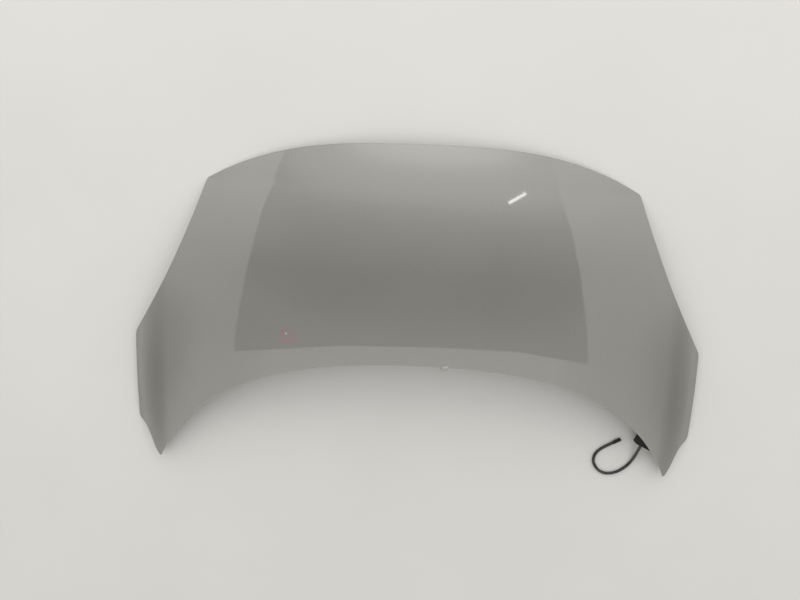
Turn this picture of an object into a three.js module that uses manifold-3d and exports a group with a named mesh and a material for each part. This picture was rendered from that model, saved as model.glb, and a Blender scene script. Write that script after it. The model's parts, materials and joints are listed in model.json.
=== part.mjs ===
// Car bonnet: a pressed steel outer skin hemmed over a stamped inner frame, with its
// hinge and latch reinforcements, rubber buffers, washer jet and washer hose.
// It lies outer skin up. X runs across the car, Y towards the nose, Z up, in millimetres.
import * as THREE from 'three';
import { mergeVertices } from 'three/addons/utils/BufferGeometryUtils.js';
import Module from 'manifold-3d';

const wasm = await Module();
wasm.setup();

// Plan outline, right half, measured from the centre line and from the two rear tips
const LENGTH = 827;          // rear tips to the middle of the nose
const ARCH_Y = 300;          // middle of the rear edge
const TIP_HALF = 662;        // rear tip
const KINK_HALF = 721;       // where the taper to the tip meets the wing edge
const KINK_Y = 100;
const HALF_WIDTH = 725;      // widest corner, behind the headlamp
const CORNER_Y = 331;
const FRONT_HALF = 544;      // front corner
const FRONT_Y = 728;
const ARCH_FLAT = 360;       // handle of the rear edge at the centre line
const ARCH_RUN = 104;        // handle of the rear edge at the tip, across
const ARCH_RISE = 208;       // handle of the rear edge at the tip, forward
const NOSE_FLAT = 200;       // handle of the nose edge at the centre line
const NOSE_RUN = 180;        // handle of the nose edge at the front corner, across
const NOSE_RISE = 99;        // handle of the nose edge at the front corner, forward
const TAPER_BOW = [26, 35];  // handle of the taper at the tip
const TAPER_DIP = [36, 15];  // handle of the taper at the kink
const LAMP_BOW = [127, 182]; // handle of the headlamp edge at the widest corner

// Crown of the outer skin
const CROWN_Z = 141.6;       // highest point of the pressing
const CROWN_Y = 410;
const CROWN_RADIUS = 2200;   // along the car
const ROLL_Y = 520;          // where the nose starts to roll over
const ROLL_RADIUS = 800;
const REAR_CROSS_RADIUS = 2700;
const NOSE_CROSS_RADIUS = 1600;
const SHOULDER_X = 632;      // crease line where the sides turn down
const SHOULDER_RADIUS = 200;

// Sheets and hem
const SKIN_T = 0.8;
const FRAME_T = 0.7;
const SLIP = 0.3;            // clearance between sheets and pieces that meet
const HEM_WIDTH = 12;        // width of the folded return
const FACET = 70;            // longest facet

// Inner frame
const FLANGE = 24;           // flat flange that the hem grips
const WALL = 16;             // run of every sloping channel wall
const CHANNEL = 44;          // flat bottom of the perimeter channel
const CHANNEL_DEPTH = 18;
const DECK_GAP = 2.6;        // gap filled by the mastic between deck and skin
const RAILS = [165, 440];    // longitudinal rails, from the centre line at the widest section
const RAIL_WIDTH = 34;       // flat bottom of a rail
const RAIL_DEPTH = 14;
const CROSS_RAIL = 262;      // cross rail, forward of the rear edge on the centre line
const WINDOW_LIP = 20;       // deck left round each window
const WINDOW_SQUARENESS = 5; // exponent of the rounded window outline
const WINDOW_POINTS = 20;
const HOLE_SIDES = 12;
const CUTTER = 12;           // length of a hole cutter
const ROOT = 1;              // how deep joined pieces run into each other

// Hinge seats and latch seat
const HINGE_FRONT = 196;     // front end of the pad, forward of the rear edge
const HINGE_PLATE_T = 2;
const PLATE_CLIP = 8;        // corners cut off every plate
const HINGE_MARGIN = 9;      // seat left round the hinge plate
const HINGE_PITCH = 56;
const HINGE_BOLT_R = 4;
const HINGE_NUT = [13, 6.5];
const LATCH_PAD_HALF = 72;
const LATCH_PLATE = [128, 36, 1.5];
const STRIKER_PLATE = [96, 34, 2.5];
const STRIKER_PITCH = 74;
const STRIKER_WIRE_R = 4;
const STRIKER_HALF = 17;     // half width of the wire loop
const STRIKER_DROP = 24;     // loop below its plate
const STRIKER_MESH = [10, 20]; // sides and lengths of the bent wire
const LATCH_BOLT_R = 3;
const LATCH_NUT = [10, 5];
const BOLT_HEAD = [10, 4];

// Rubber and plastic trim
const BUFFER_AT = 0.62;      // share of the half width
const BUFFER_R = 11;
const BUFFER_DROP = 8;
const BUFFER_FOOT = [0.8, 0.7]; // radius and rim height of the head, as shares
const STEM_R = 4;
const SOCKET_AT = -0.4;
const SOCKET_R = 11;
const SOCKET_BORE_R = 4.5;
const GROMMET_LIP = 2;
const MASTIC_SHARE = 0.7;    // length of a dab as a share of its facet
const MASTIC_WIDTH = 12;
const HOSE_R = 3.75;
const HOSE_SIDES = 8;
const HOSE_STEP = 19;        // length of one straight piece of hose
const HOSE_LINE = 62;        // hose run, forward of the rear edge
const CLIPS_AT = [0.74, 0.58, 0.42, 0.26];
const HOSE_TURNS = [0.83, 0.19]; // where the held hose leaves the channel line
const CLIP_WIDTH = 10;
const CLIP_WALL = 1.6;
const CLIP_ARC = [0.12, 1.72]; // ends of the open ring, in half turns
const JET_X = 68;            // washer jet, right of the centre line
const JET_WIDTH = 15;
const JET_OVER = 4.5;        // hook over the edge of the skin
const JET_WALL = 2.4;
const JET_LEG = 7.2;         // thickness of the leg behind the edge
const JET_TIP = 0.6;         // thickness of the hook's tip, as a share of its wall
const JET_BODY = [18, 24];   // length under the flange and height of the leg
const JET_SLIP = 1;          // room for the slope of the skin in the hook
const CUFF_R = 4.6;
const CUFF_LENGTH = 22;

// Rubber hose block, in plan from the right rear tip, and its height above the floor
const fromTip = ([x, ...rest]) => [TIP_HALF + x, ...rest];
const BLOCK_OUTLINE = [
  [-75, 114], [-84, 96], [-81, 90.5], [-38, 69.5], [-12, 100], [-40, 138],
].map(fromTip);
const BLOCK_Z = [16, 29];
const BLOCK_STUD = fromTip([-40, 110]);
const INNER_START = [[-57.8, 126.5], [-63.5, 134.7]].map(fromTip); // held hose, behind the block

// Free washer hose on the floor, chosen by eye: from the right rear tip, and height of its centre
const HOSE_ROUTE = [
  [-65.3, 82, 22], [-68, 76.1, 21.6], [-70.2, 63, 15], [-73.4, 50, 9.5], [-78, 38, 5.4],
  [-85.5, 26, 3.9], [-96, 15.4, 3.9], [-111.7, 4.4, 3.9], [-128, -2, 3.9], [-145, -3.3, 3.9],
  [-162.3, 3, 3.9], [-174.3, 15.8, 3.9], [-180.2, 31.5, 3.9], [-176.2, 49, 3.9],
  [-163.8, 63.1, 3.9], [-147.8, 73.1, 3.9], [-132.8, 81.6, 4.3],
].map(fromTip);

const PAINT = { color: 0x97968f, roughness: 0.32, metalness: 0.75 };
const UNDERCOAT = { color: 0x85847e, roughness: 0.5, metalness: 0.55 };
const ZINC = { color: 0xb3ab94, roughness: 0.42, metalness: 0.85 };
const RUBBER = { color: 0x1b1b1c, roughness: 0.82, metalness: 0 };
const HOSE_RUBBER = { color: 0x2b2b2d, roughness: 0.6, metalness: 0 };
const MASTIC = { color: 0x4a4844, roughness: 0.9, metalness: 0 };
const JET_PLASTIC = { color: 0xa5a39c, roughness: 0.5, metalness: 0 };
const CLIP_PLASTIC = { color: 0x29292b, roughness: 0.55, metalness: 0 };

const group = new THREE.Group();
group.name = 'car_bonnet';

function addPiece(name, geometry, finish, parent = group) {
  const mesh = new THREE.Mesh(geometry, new THREE.MeshStandardMaterial(finish));
  mesh.name = name;
  parent.add(mesh);
  return mesh;
}

// Closed solids, joined and cut

function toSolid(geometry) {
  const bare = geometry.clone();
  bare.deleteAttribute('normal');
  bare.deleteAttribute('uv');
  const merged = mergeVertices(bare, 1e-4);
  return new wasm.Manifold(new wasm.Mesh({
    numProp: 3,
    vertProperties: new Float32Array(merged.attributes.position.array),
    triVerts: new Uint32Array(merged.index.array),
  }));
}

function toGeometry(solid) {
  const mesh = solid.getMesh();
  const geometry = new THREE.BufferGeometry();
  geometry.setAttribute('position', new THREE.BufferAttribute(mesh.vertProperties, 3));
  geometry.setIndex(new THREE.BufferAttribute(mesh.triVerts, 1));
  return geometry;
}

function cut(geometry, cutters) {
  const left = cutters.reduce((solid, cutter) => solid.subtract(toSolid(cutter)), toSolid(geometry));
  return toGeometry(left);
}

function join(...geometries) {
  const whole = geometries.map(toSolid).reduce((a, b) => a.add(b));
  return toGeometry(whole);
}

// Outline curves of the right half, each from rear to front or from the middle outwards

const v2 = (x, y) => new THREE.Vector2(x, y);
const archCurve = new THREE.CubicBezierCurve(
  v2(0, ARCH_Y), v2(ARCH_FLAT, ARCH_Y), v2(TIP_HALF - ARCH_RUN, ARCH_RISE), v2(TIP_HALF, 0));
const noseCurve = new THREE.CubicBezierCurve(
  v2(0, LENGTH), v2(NOSE_FLAT, LENGTH), v2(FRONT_HALF - NOSE_RUN, FRONT_Y + NOSE_RISE),
  v2(FRONT_HALF, FRONT_Y));
const taperCurve = new THREE.CubicBezierCurve(
  v2(TIP_HALF, 0), v2(TIP_HALF + TAPER_BOW[0], TAPER_BOW[1]),
  v2(KINK_HALF - TAPER_DIP[0], KINK_Y - TAPER_DIP[1]), v2(KINK_HALF, KINK_Y));
const wingLine = new THREE.LineCurve(v2(KINK_HALF, KINK_Y), v2(HALF_WIDTH, CORNER_Y));
const lampCurve = new THREE.QuadraticBezierCurve(
  v2(HALF_WIDTH, CORNER_Y), v2(HALF_WIDTH - LAMP_BOW[0], CORNER_Y + LAMP_BOW[1]),
  v2(FRONT_HALF, FRONT_Y));
const KINK_SHARE = KINK_Y / FRONT_Y;
const CORNER_SHARE = CORNER_Y / FRONT_Y;

function sidePoint(v) {
  if (v < KINK_SHARE) return taperCurve.getPointAt(v / KINK_SHARE);
  if (v < CORNER_SHARE) return wingLine.getPoint((v - KINK_SHARE) / (CORNER_SHARE - KINK_SHARE));
  return lampCurve.getPointAt((v - CORNER_SHARE) / (1 - CORNER_SHARE));
}

// Height of the outer face over a point of the plan
function crown(x, y) {
  const forward = THREE.MathUtils.clamp((y - KINK_Y) / (FRONT_Y - KINK_Y), 0, 1);
  const cross = THREE.MathUtils.lerp(1 / REAR_CROSS_RADIUS, 1 / NOSE_CROSS_RADIUS, forward ** 2);
  const roll = Math.max(0, y - ROLL_Y);
  const turn = Math.max(0, Math.abs(x) - SHOULDER_X);
  return CROWN_Z - (y - CROWN_Y) ** 2 / (2 * CROWN_RADIUS) - roll ** 2 / (2 * ROLL_RADIUS)
    - cross * x * x / 2 - turn ** 2 / (2 * SHOULDER_RADIUS);
}

// Point of the outer face: u is -1 to 1 across, v is 0 at the rear edge to 1 at the nose
function facePoint(u, v) {
  const across = Math.abs(u);
  const rear = archCurve.getPointAt(across);
  const nose = noseCurve.getPointAt(across);
  const side = sidePoint(v);
  const x = THREE.MathUtils.lerp(rear.x, nose.x, v)
    + across * (side.x - THREE.MathUtils.lerp(TIP_HALF, FRONT_HALF, v));
  const y = THREE.MathUtils.lerp(rear.y, nose.y, v) + side.y - v * FRONT_Y;
  return new THREE.Vector3(Math.sign(u) * x, y, crown(x, y));
}

// A lattice is a grid of nodes over u and v, with flat facets between them

function ticks(stops, step) {
  const sorted = [...stops].sort((a, b) => a - b).filter((t, k, all) => k === 0 || t - all[k - 1] > 1e-6);
  const out = [sorted[0]];
  for (let k = 1; k < sorted.length; k += 1) {
    const span = sorted[k] - sorted[k - 1];
    const count = Math.max(1, Math.ceil(span / step - 1e-6));
    for (let i = 1; i <= count; i += 1) out.push(sorted[k - 1] + span * i / count);
  }
  return out;
}

const CENTRE_LENGTH = LENGTH - ARCH_Y;
const KINK_STOP = KINK_SHARE * CENTRE_LENGTH;
const CORNER_STOP = CORNER_SHARE * CENTRE_LENGTH;

function makeLattice(acrossStops, alongStops, place) {
  const half = ticks([0, ...acrossStops, HALF_WIDTH], FACET).map((x) => x / HALF_WIDTH);
  const us = [...half.slice(1).map((u) => -u).reverse(), ...half];
  const stops = [0, ...alongStops, KINK_STOP, CORNER_STOP, CENTRE_LENGTH];
  const vs = ticks(stops, FACET).map((y) => y / CENTRE_LENGTH);
  const nodes = vs.map((v) => us.map((u) => place(u, v)));
  return { us, vs, nodes };
}

function cellOf(list, value) {
  const last = list.length - 2;
  const found = list.findIndex((t) => t > value) - 1;
  return found < 0 ? last : Math.min(found, last);
}

// Point, unit normal and unit directions on a lattice facet, each cell being two triangles
function latticeAt(lattice, u, v) {
  const i = cellOf(lattice.us, u);
  const j = cellOf(lattice.vs, v);
  const s = (u - lattice.us[i]) / (lattice.us[i + 1] - lattice.us[i]);
  const t = (v - lattice.vs[j]) / (lattice.vs[j + 1] - lattice.vs[j]);
  const [a, b] = [lattice.nodes[j][i], lattice.nodes[j][i + 1]];
  const [d, c] = [lattice.nodes[j + 1][i], lattice.nodes[j + 1][i + 1]];
  const isLeft = lattice.us[i + 1] <= 0;
  const rearward = isLeft ? s + t < 1 : s > t;
  const nearLeft = isLeft ? s + t < 1 : s <= t;
  const across = rearward ? b.clone().sub(a) : c.clone().sub(d);
  const along = nearLeft ? d.clone().sub(a) : c.clone().sub(b);
  const corner = isLeft && !rearward ? c : a;
  const [p, q] = corner === c ? [s - 1, t - 1] : [s, t];
  const point = corner.clone().addScaledVector(across, p).addScaledVector(along, q);
  across.normalize();
  along.normalize();
  return { point, normal: across.clone().cross(along).normalize(), across, along };
}

// Sheet body from outer and inner nodes and the quads between them, each quad being split
// from its first corner to its third
function sheetBody(outer, inner, quads) {
  const position = [...outer, ...inner].flatMap((p) => [p.x, p.y, p.z]);
  const below = outer.length;
  const index = [];
  const rim = new Map();
  for (const [a, b, c, d] of quads) {
    index.push(a, b, c, a, c, d);
    index.push(below + a, below + c, below + b, below + a, below + d, below + c);
    for (const [p, q] of [[a, b], [b, c], [c, d], [d, a]]) {
      if (!rim.delete(`${q} ${p}`)) rim.set(`${p} ${q}`, [p, q]);
    }
  }
  for (const [p, q] of rim.values()) index.push(q, p, below + p, q, below + p, below + q);
  const geometry = new THREE.BufferGeometry();
  geometry.setAttribute('position', new THREE.Float32BufferAttribute(position, 3));
  geometry.setIndex(index);
  return geometry;
}

function latticeQuads(lattice) {
  const wide = lattice.us.length;
  const quads = [];
  for (let j = 0; j < lattice.vs.length - 1; j += 1) {
    for (let i = 0; i < wide - 1; i += 1) {
      const a = j * wide + i;
      const cell = [a, a + 1, a + wide + 1, a + wide];
      if (lattice.us[i + 1] <= 0) cell.push(cell.shift());
      quads.push(cell);
    }
  }
  return quads;
}

const lowered = (p, drop) => new THREE.Vector3(p.x, p.y, p.z - drop);

// Outer skin

const CHANNEL_IN = FLANGE + WALL;
const CHANNEL_OUT = CHANNEL_IN + CHANNEL;
const DECK_START = CHANNEL_OUT + WALL;
const RAIL_HALF = RAIL_WIDTH / 2 + WALL;
const fromSide = (stops) => stops.map((stop) => HALF_WIDTH - stop);
const fromEnds = (stops) => [...stops, ...stops.map((stop) => CENTRE_LENGTH - stop)];
const edgeStops = [HEM_WIDTH, FLANGE, CHANNEL_IN, CHANNEL_OUT, DECK_START];
const railStops = (at) => [at - RAIL_HALF, at - RAIL_WIDTH / 2, at + RAIL_WIDTH / 2, at + RAIL_HALF];
const skin = makeLattice(
  [LATCH_PAD_HALF, ...RAILS.flatMap(railStops), ...fromSide(edgeStops)],
  [...fromEnds(edgeStops), ...railStops(CROSS_RAIL), HINGE_FRONT], facePoint);
const HEM_GAP = FRAME_T + 2 * SLIP;
const HEM_DEPTH = 2 * SKIN_T + HEM_GAP;
const FOLD_ANGLES = [30, -30, -90];

// Edge nodes of one side in order, each with its neighbour one row in
function edgeStations(side) {
  const rows = skin.vs.length - 1;
  const columns = skin.us.length - 1;
  const at = (i, j) => j * (columns + 1) + i;
  const run = (count, place) => Array.from({ length: count + 1 }, (_, k) => place(k));
  if (side === 'rear') return run(columns, (k) => [at(k, 0), at(k, 1)]);
  if (side === 'right') return run(rows, (k) => [at(columns, k), at(columns - 1, k)]);
  if (side === 'nose') return run(columns, (k) => [at(columns - k, rows), at(columns - k, rows - 1)]);
  return run(rows, (k) => [at(0, rows - k), at(1, rows - k)]);
}

function outerSkin() {
  const outer = skin.nodes.flat();
  const inner = outer.map((p) => lowered(p, SKIN_T));
  const quads = latticeQuads(skin);
  for (const side of ['rear', 'right', 'nose', 'left']) {
    const isEnd = side === 'rear' || side === 'nose';
    const stations = isEnd ? edgeStations(side).slice(1, -1) : edgeStations(side);
    const held = stations.slice(1, -1);
    let previous = held.map(([edge]) => edge);
    const rows = held.map(([edge, inside], k) => {
      const before = outer[stations[k][0]];
      const after = outer[stations[k + 2][0]];
      const away = new THREE.Vector3(after.y - before.y, before.x - after.x, 0).normalize();
      const fold = lowered(outer[edge], HEM_DEPTH / 2);
      const turn = FOLD_ANGLES.map((degrees) => {
        const angle = THREE.MathUtils.degToRad(degrees);
        const spoke = away.clone().multiplyScalar(Math.cos(angle));
        spoke.z = Math.sin(angle);
        return [
          fold.clone().addScaledVector(spoke, HEM_DEPTH / 2),
          fold.clone().addScaledVector(spoke, HEM_GAP / 2),
        ];
      });
      const back = lowered(outer[inside], HEM_DEPTH);
      return [...turn, [back, lowered(back, -SKIN_T)]];
    });
    for (let r = 0; r < FOLD_ANGLES.length + 1; r += 1) {
      const next = rows.map((row) => {
        outer.push(row[r][0]);
        inner.push(row[r][1]);
        return outer.length - 1;
      });
      for (let k = 0; k < next.length - 1; k += 1) {
        const cell = [previous[k + 1], previous[k], next[k], next[k + 1]];
        if (side === 'left' || (isEnd && outer[previous[k]].x + outer[previous[k + 1]].x > 0)) {
          cell.push(cell.shift());
        }
        quads.push(cell);
      }
      previous = next;
    }
  }
  return sheetBody(outer, inner, quads);
}

// Inner frame

function channelDrop(edge) {
  if (edge <= FLANGE) return 0;
  if (edge < CHANNEL_IN) return CHANNEL_DEPTH * (edge - FLANGE) / WALL;
  if (edge <= CHANNEL_OUT) return CHANNEL_DEPTH;
  const up = Math.min(1, (edge - CHANNEL_OUT) / WALL);
  return THREE.MathUtils.lerp(CHANNEL_DEPTH, DECK_GAP, up);
}

function railDrop(distance) {
  const up = THREE.MathUtils.clamp((distance - RAIL_WIDTH / 2) / WALL, 0, 1);
  return THREE.MathUtils.lerp(RAIL_DEPTH, DECK_GAP, up);
}

// How far the frame lies below the underside of the skin
function frameDrop(u, v) {
  const x = Math.abs(u) * HALF_WIDTH;
  const y = v * CENTRE_LENGTH;
  const edge = Math.min(HALF_WIDTH - x, y, CENTRE_LENGTH - y);
  const drop = channelDrop(edge);
  if (edge < CHANNEL_OUT) return drop;
  const rails = [...RAILS.map((at) => railDrop(Math.abs(x - at))), railDrop(Math.abs(y - CROSS_RAIL))];
  return Math.max(drop, ...rails);
}

// Flat seats pressed into the channel bottoms, as ranges in u and v
const toU = (x) => x / HALF_WIDTH;
const toV = (y) => y / CENTRE_LENGTH;
const SIDE_BOTTOM = [toU(HALF_WIDTH - CHANNEL_OUT), toU(HALF_WIDTH - CHANNEL_IN)];
const HINGE_ALONG = [toV(DECK_START), toV(HINGE_FRONT)];
const seats = {
  hinge_right: { u: SIDE_BOTTOM, v: HINGE_ALONG },
  hinge_left: { u: [-SIDE_BOTTOM[1], -SIDE_BOTTOM[0]], v: HINGE_ALONG },
  latch: {
    u: [toU(-LATCH_PAD_HALF), toU(LATCH_PAD_HALF)],
    v: [toV(CENTRE_LENGTH - CHANNEL_OUT), toV(CENTRE_LENGTH - CHANNEL_IN)],
  },
};

function framePoint(u, v) {
  return lowered(latticeAt(skin, u, v).point, SKIN_T + SLIP + frameDrop(u, v));
}

for (const seat of Object.values(seats)) {
  const [a, b] = [framePoint(seat.u[0], seat.v[0]), framePoint(seat.u[1], seat.v[1])];
  const [c, d] = [framePoint(seat.u[1], seat.v[0]), framePoint(seat.u[0], seat.v[1])];
  seat.centre = a.clone().add(b).add(c).add(d).multiplyScalar(0.25);
  seat.normal = b.sub(a).cross(d.sub(c)).normalize();
}

function flattened(u, v) {
  const point = framePoint(u, v);
  const margin = 1e-6;
  const inside = (range, value) => value > range[0] - margin && value < range[1] + margin;
  for (const { u: ru, v: rv, centre, normal } of Object.values(seats)) {
    if (inside(ru, u) && inside(rv, v)) {
      const offset = point.clone().sub(centre);
      point.z = centre.z - (normal.x * offset.x + normal.y * offset.y) / normal.z;
    }
  }
  return point;
}

const frame = {
  us: skin.us,
  vs: skin.vs,
  nodes: skin.vs.map((v) => skin.us.map((u) => flattened(u, v))),
};

// Group whose origin lies on the frame's upper face, with Z along the face normal and
// Y along the car, or X along the rear edge where the piece follows that edge
function seatGroup(u, v, followsEdge = false) {
  const { point, normal, across, along } = latticeAt(frame, u, v);
  const sideways = followsEdge ? across : along.clone().cross(normal);
  const forward = normal.clone().cross(sideways);
  const holder = new THREE.Group();
  holder.position.copy(point);
  holder.quaternion.setFromRotationMatrix(new THREE.Matrix4().makeBasis(sideways, forward, normal));
  holder.updateMatrix();
  holder.userData.under = -FRAME_T * normal.z;
  return holder;
}

function placed(geometry, x = 0, y = 0, z = 0) {
  return geometry.translate(x, y, z);
}

function upright(radius, height, sides = HOLE_SIDES) {
  return new THREE.CylinderGeometry(radius, radius, height, sides).rotateX(Math.PI / 2);
}

// Hole cutter through the frame at a seat, shifted along the seat's own axes
function holeAt(holder, radius, x = 0, y = 0) {
  return placed(upright(radius, CUTTER), x, y).applyMatrix4(holder.matrix);
}

// Window cutters between the rails
function windowBands() {
  const [near, far] = RAILS;
  const across = [
    [-(near - RAIL_HALF), near - RAIL_HALF],
    [near + RAIL_HALF, far - RAIL_HALF],
    [far + RAIL_HALF, HALF_WIDTH - DECK_START],
  ];
  const along = [
    [DECK_START, CROSS_RAIL - RAIL_HALF],
    [CROSS_RAIL + RAIL_HALF, CENTRE_LENGTH - DECK_START],
  ];
  const mirrored = across.slice(1).map(([a, b]) => [-b, -a]);
  return [...across, ...mirrored].flatMap((u) => along.map((v) => ({ u, v })));
}

function windowCutter({ u, v }) {
  const shape = new THREE.Shape();
  const mid = [(u[0] + u[1]) / 2, (v[0] + v[1]) / 2];
  const half = [(u[1] - u[0]) / 2 - WINDOW_LIP, (v[1] - v[0]) / 2 - WINDOW_LIP];
  const round = (t) => Math.sign(t) * Math.abs(t) ** (2 / WINDOW_SQUARENESS);
  for (let k = 0; k < WINDOW_POINTS; k += 1) {
    const angle = (k + 0.5) / WINDOW_POINTS * 2 * Math.PI;
    const x = mid[0] + half[0] * round(Math.cos(angle));
    const y = mid[1] + half[1] * round(Math.sin(angle));
    const { point } = latticeAt(skin, toU(x), toV(y));
    if (k === 0) shape.moveTo(point.x, point.y);
    else shape.lineTo(point.x, point.y);
  }
  return new THREE.ExtrudeGeometry(shape, { depth: 2 * CROWN_Z, bevelEnabled: false })
    .translate(0, 0, -CROWN_Z / 2);
}

const middle = (range) => (range[0] + range[1]) / 2;
const hingeHolders = ['right', 'left'].map((side) => {
  const seat = seats[`hinge_${side}`];
  return { side, holder: seatGroup(middle(seat.u), middle(seat.v)) };
});
const latchHolder = seatGroup(0, middle(seats.latch.v));
const noseLine = middle(seats.latch.v);
const bufferHolders = [
  { side: 'right', holder: seatGroup(BUFFER_AT, noseLine) },
  { side: 'left', holder: seatGroup(-BUFFER_AT, noseLine) },
];
const socketHolder = seatGroup(SOCKET_AT, noseLine);
const clipHolders = CLIPS_AT.map((u) => seatGroup(u, toV(HOSE_LINE), true));

function innerFrame() {
  const top = frame.nodes.flat();
  const sheet = sheetBody(top, top.map((p) => lowered(p, FRAME_T)), latticeQuads(frame));
  const cutters = windowBands().map(windowCutter);
  for (const { holder } of hingeHolders) {
    for (const side of [-1, 1]) {
      cutters.push(holeAt(holder, HINGE_BOLT_R + SLIP, 0, side * HINGE_PITCH / 2));
    }
  }
  for (const side of [-1, 1]) {
    cutters.push(holeAt(latchHolder, LATCH_BOLT_R + SLIP, side * STRIKER_PITCH / 2));
  }
  for (const { holder } of bufferHolders) cutters.push(holeAt(holder, STEM_R + SLIP));
  for (const holder of clipHolders) cutters.push(holeAt(holder, CLIP_WALL + SLIP));
  cutters.push(holeAt(socketHolder, SOCKET_R - GROMMET_LIP + SLIP));
  cutters.push(placed(upright(STEM_R + SLIP, CROWN_Z), ...BLOCK_STUD, CROWN_Z / 2));
  return cut(sheet, cutters);
}

// Flat plate with clipped corners and round holes, lying on z = 0
function plate([width, length, thickness], holes) {
  const corners = [[-1, -1], [1, -1], [1, 1], [-1, 1]];
  const outline = corners.flatMap(([i, j], k) => {
    const alongEdge = v2(i * (width / 2 - PLATE_CLIP), j * length / 2);
    const upEdge = v2(i * width / 2, j * (length / 2 - PLATE_CLIP));
    return k % 2 ? [alongEdge, upEdge] : [upEdge, alongEdge];
  });
  const shape = new THREE.Shape(outline);
  for (const [x, y, radius] of holes) {
    shape.holes.push(new THREE.Path().absarc(x, y, radius, 0, 2 * Math.PI, true));
  }
  return new THREE.ExtrudeGeometry(shape, { depth: thickness, bevelEnabled: false, curveSegments: 8 });
}

function hexShape(flats) {
  const shape = new THREE.Shape();
  const corner = flats / Math.sqrt(3);
  for (let k = 0; k < 6; k += 1) {
    const angle = k * Math.PI / 3;
    shape[k ? 'lineTo' : 'moveTo'](corner * Math.cos(angle), corner * Math.sin(angle));
  }
  return shape;
}

function nut([flats, height], radius) {
  const shape = hexShape(flats);
  shape.holes.push(new THREE.Path().absarc(0, 0, radius, 0, 2 * Math.PI, true));
  return new THREE.ExtrudeGeometry(shape, { depth: height, bevelEnabled: false, curveSegments: 8 });
}

// Bolt pointing up, its head below z = 0
function bolt(radius, [flats, height], length) {
  const head = new THREE.ExtrudeGeometry(hexShape(flats), { depth: height, bevelEnabled: false })
    .translate(0, 0, -height);
  return join(head, placed(upright(radius, length + height / 2), 0, 0, length / 2 - height / 4));
}

function addHinge({ side, holder }) {
  group.add(holder);
  const offsets = [-HINGE_PITCH / 2, HINGE_PITCH / 2];
  const holes = offsets.map((y) => [0, y, HINGE_BOLT_R + SLIP]);
  const inSeat = (length) => length - 2 * HINGE_MARGIN;
  const size = [inSeat(CHANNEL), inSeat(HINGE_FRONT - DECK_START), HINGE_PLATE_T];
  addPiece(`hinge_reinforcement_${side}`, placed(plate(size, holes), 0, 0, SLIP), ZINC, holder);
  const top = 2 * SLIP + HINGE_PLATE_T;
  offsets.forEach((y, k) => {
    const name = `hinge_nut_${side}_${k ? 'front' : 'rear'}`;
    addPiece(name, placed(nut(HINGE_NUT, HINGE_BOLT_R), 0, y, top), ZINC, holder);
  });
}

// Bent wire loop hanging below z = 0
function strikerLoop() {
  const bend = 2 * STRIKER_WIRE_R;
  const low = STRIKER_WIRE_R - STRIKER_DROP;
  const path = new THREE.CurvePath();
  const v3 = (x, z) => new THREE.Vector3(x, 0, z);
  const outer = STRIKER_HALF - STRIKER_WIRE_R;
  path.add(new THREE.LineCurve3(v3(-outer, ROOT), v3(-outer, low + bend)));
  path.add(new THREE.QuadraticBezierCurve3(v3(-outer, low + bend), v3(-outer, low), v3(bend - outer, low)));
  path.add(new THREE.LineCurve3(v3(bend - outer, low), v3(outer - bend, low)));
  path.add(new THREE.QuadraticBezierCurve3(v3(outer - bend, low), v3(outer, low), v3(outer, low + bend)));
  path.add(new THREE.LineCurve3(v3(outer, low + bend), v3(outer, ROOT)));
  return rod(path, STRIKER_WIRE_R, ...STRIKER_MESH);
}

function rod(path, radius, sides, steps) {
  const section = new THREE.Shape();
  for (let k = 0; k < sides; k += 1) {
    const angle = 2 * Math.PI * (k + 0.5) / sides;
    section[k ? 'lineTo' : 'moveTo'](radius * Math.cos(angle), radius * Math.sin(angle));
  }
  return new THREE.ExtrudeGeometry(section, { steps, extrudePath: path, bevelEnabled: false });
}

function addLatch() {
  group.add(latchHolder);
  const { under } = latchHolder.userData;
  const offsets = [-STRIKER_PITCH / 2, STRIKER_PITCH / 2];
  const holes = offsets.map((x) => [x, 0, LATCH_BOLT_R + SLIP]);
  addPiece('latch_reinforcement', placed(plate(LATCH_PLATE, holes), 0, 0, SLIP), ZINC, latchHolder);
  const plateTop = under - SLIP;
  const plateBottom = plateTop - STRIKER_PLATE[2];
  const base = placed(plate(STRIKER_PLATE, holes), 0, 0, plateBottom);
  addPiece('striker', join(base, placed(strikerLoop(), 0, 0, plateBottom)), ZINC, latchHolder);
  const nutFoot = 2 * SLIP + LATCH_PLATE[2];
  const headTop = plateBottom - SLIP;
  const shank = nutFoot + LATCH_NUT[1] - headTop;
  offsets.forEach((x, k) => {
    const side = k ? 'right' : 'left';
    addPiece(`latch_nut_${side}`, placed(nut(LATCH_NUT, LATCH_BOLT_R + SLIP), x, 0, nutFoot), ZINC,
      latchHolder);
    addPiece(`striker_bolt_${side}`, placed(bolt(LATCH_BOLT_R, BOLT_HEAD, shank), x, 0, headTop), ZINC,
      latchHolder);
  });
}

function turned(points, sides = HOLE_SIDES) {
  return new THREE.LatheGeometry(points.map(([r, z]) => v2(r, z)), sides).rotateX(Math.PI / 2);
}

// Push-in rubber buffer: head under the sheet, stem and barb above it
function buffer(under) {
  const seat = under - SLIP;
  const barb = GROMMET_LIP;
  return turned([
    [0, seat - BUFFER_DROP], [BUFFER_R * BUFFER_FOOT[0], seat - BUFFER_DROP],
    [BUFFER_R, seat - BUFFER_DROP * BUFFER_FOOT[1]],
    [BUFFER_R, seat], [STEM_R, seat], [STEM_R, SLIP], [STEM_R + barb, SLIP],
    [STEM_R - barb / 2, 3 * barb], [0, 3 * barb],
  ]);
}

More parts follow.
